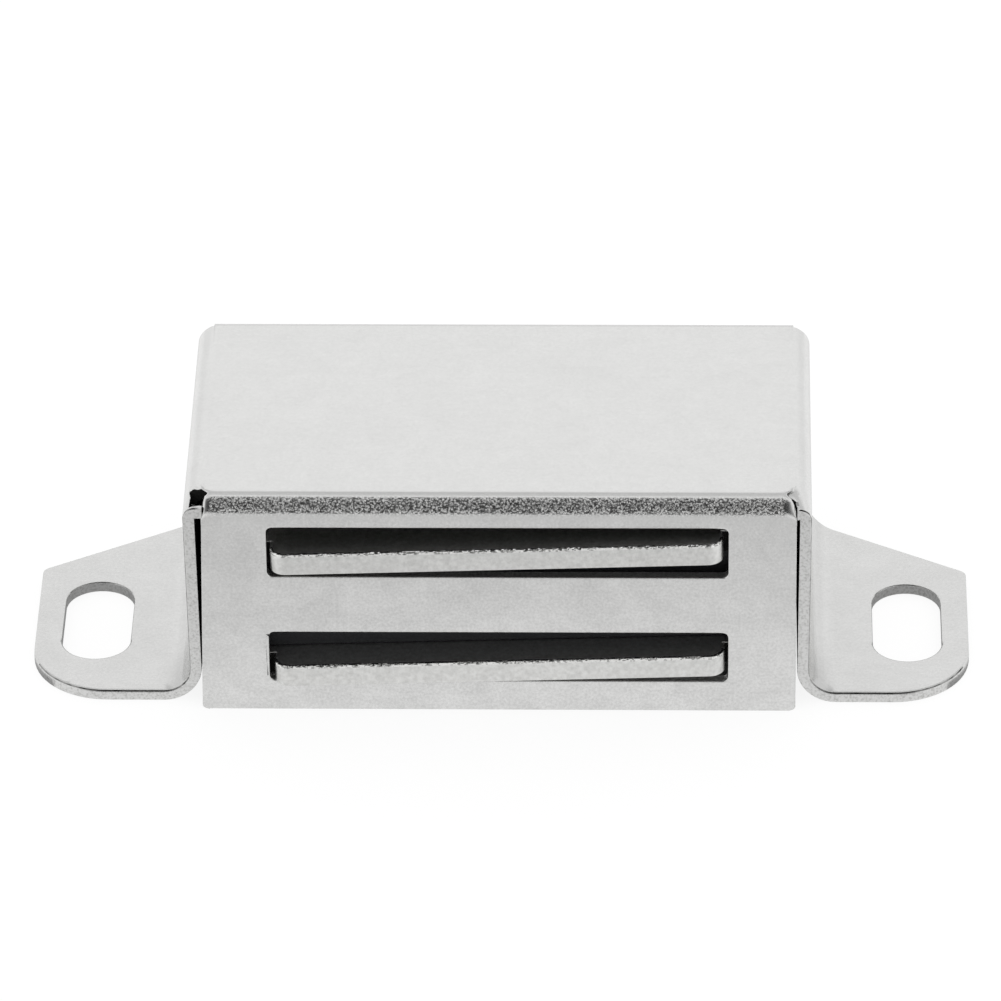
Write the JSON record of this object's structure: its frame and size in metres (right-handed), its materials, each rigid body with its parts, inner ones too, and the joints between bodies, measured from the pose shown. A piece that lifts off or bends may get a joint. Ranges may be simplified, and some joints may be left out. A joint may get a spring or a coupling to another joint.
{
  "type": "magnetic catch",
  "caption": "Surface-mounted magnetic door catch: a folded steel housing with slotted ears holds a loose magnet pack whose pole plates look out of its front slots.",
  "frame": {"origin": "on the mounting plane under the ears, below the middle of the overall box", "axes": "+X from the left ear to the right ear as seen from the door, +Y from the poles to the back, +Z away from the mounting surface"},
  "size_m": [0.08, 0.0304, 0.021],
  "materials": {
    "stainless_sheet": "satin",
    "pole_steel": "satin",
    "ferrite": "matte"
  },
  "bodies": {
    "housing": {"housing": "stainless_sheet"},
    "magnet_pack": {"magnet": "ferrite", "upper_pole_plate": "pole_steel", "lower_pole_plate": "pole_steel"}
  },
  "joints": [
    {"name": "pack_rock", "type": "hinge", "parent": "housing", "child": "magnet_pack", "pos_m": [0, 0, 0.0102], "axis": [0, 1, 0], "range_deg": [0, 3.6]}
  ]
}
